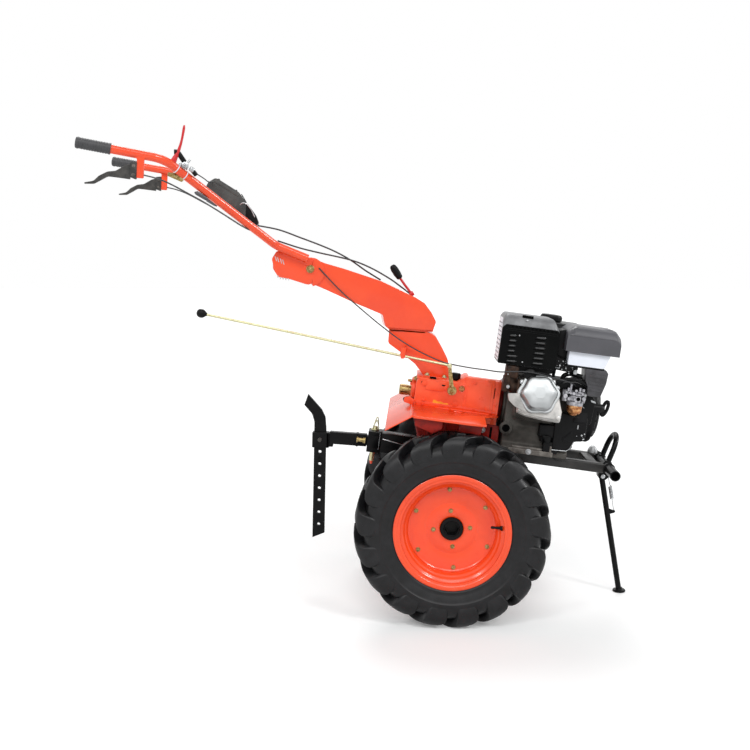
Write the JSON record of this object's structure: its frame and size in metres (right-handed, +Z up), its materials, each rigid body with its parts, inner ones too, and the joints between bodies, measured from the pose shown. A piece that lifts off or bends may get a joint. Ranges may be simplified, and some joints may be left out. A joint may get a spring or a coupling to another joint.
{
  "type": "walk-behind rotary tiller",
  "caption": "Two-wheel walk-behind tiller with front engine, gearbox, steerable handlebar, depth stake and folding front stand.",
  "frame": {"origin": "centre of the front stand's foot, on the floor, in the machine's centre plane", "axes": "+X forward towards the engine's recoil starter, +Y to the machine's left, +Z up"},
  "size_m": [1.7013, 0.8365, 1.4516],
  "materials": {
    "orange_paint": "glossy",
    "black_paint": "satin",
    "tyre_rubber": "matt",
    "grip_rubber": "ribbed, matt",
    "black_plastic": "fine grain",
    "grey_plastic": "fine grain",
    "cast_aluminium": "as cast",
    "bright_cover": "polished",
    "cast_iron_orange": "painted orange",
    "zinc_plate": "yellow zinc plated",
    "bare_steel": "turned",
    "exhaust_steel": "heat stained",
    "red_plastic": "gloss"
  },
  "bodies": {
    "chassis": {"gearbox_case": "cast_iron_orange", "gearbox_cover": "orange_paint", "final_drive_case": "cast_iron_orange", "clutch_housing": "cast_iron_orange", "pto_shaft": "zinc_plate", "mudguard_right": "orange_paint", "mudguard_left": "orange_paint", "rear_flap": "orange_paint", "shift_arm": "zinc_plate", "shift_rod": "zinc_plate", "column": "orange_paint", "hitch_yoke": "black_paint", "hitch_pin": "zinc_plate", "drawbar": "black_paint", "rail_bracket": "orange_paint", "frame_rails": "black_paint", "cross_tube": "black_paint", "bumper_loop": "black_paint", "crankcase": "cast_aluminium", "cylinder": "cast_aluminium", "rocker_cover": "bright_cover", "muffler": "black_paint", "exhaust_elbow": "exhaust_steel", "air_cleaner": "grey_plastic", "intake_duct": "black_plastic", "carburettor": "cast_aluminium", "fan_housing": "black_plastic", "recoil_starter": "black_plastic", "fuel_tank": "black_plastic", "fuel_cap": "grey_plastic", "engine_cable": "black_plastic"},
    "wheel_right": {"tyre_right": "tyre_rubber", "rim_right": "orange_paint", "hub_right": "black_paint", "half_shaft_right": "bare_steel"},
    "wheel_left": {"tyre_left": "tyre_rubber", "rim_left": "orange_paint", "hub_left": "black_paint", "half_shaft_left": "bare_steel"},
    "front_stand": {"stand_leg": "black_paint", "stand_spring": "zinc_plate"},
    "depth_stake": {"depth_stake": "black_paint"},
    "steering_arm": {"arm": "orange_paint", "tilt_bolt": "zinc_plate", "lock_lever": "black_plastic"},
    "handlebar": {"handle_bracket": "orange_paint", "handlebar_right": "orange_paint", "handlebar_left": "orange_paint", "handle_brace": "orange_paint", "grip_right": "grip_rubber", "grip_left": "grip_rubber", "clutch_lever_right": "black_plastic", "clutch_lever_left": "black_plastic", "stop_lever": "red_plastic", "console": "black_plastic", "tilt_cables": "black_plastic"}
  },
  "joints": [
    {"name": "wheel_right_spin", "type": "hinge", "parent": "chassis", "child": "wheel_right", "pos_m": [-0.558, -0.308, 0.288], "axis": [0, 1, 0], "continuous": true},
    {"name": "wheel_left_spin", "type": "hinge", "parent": "chassis", "child": "wheel_left", "pos_m": [-0.558, 0.308, 0.288], "axis": [0, 1, 0], "continuous": true},
    {"name": "stand_fold", "type": "hinge", "parent": "chassis", "child": "front_stand", "pos_m": [-0.06661, 0, 0.38671], "axis": [0, 1, 0], "range_deg": [0, 80], "deforming": ["stand_spring"]},
    {"name": "stake_slide", "type": "slide", "parent": "chassis", "child": "depth_stake", "axis": [0.0244, 0, 0.9997], "range_m": [0, 0.24]},
    {"name": "handlebar_swivel", "type": "hinge", "parent": "chassis", "child": "steering_arm", "pos_m": [-0.66744, 0, 0.8511], "axis": [0.0715, 0, 0.9974], "range_deg": [-37.6, 22.4], "deforming": ["engine_cable"]},
    {"name": "handlebar_tilt", "type": "hinge", "parent": "steering_arm", "child": "handlebar", "pos_m": [-0.99828, -0.04589, 1.04626], "axis": [-0.1319, 0.9912, 0.0095], "range_deg": [-18, 18], "deforming": ["tilt_cables"]}
  ]
}
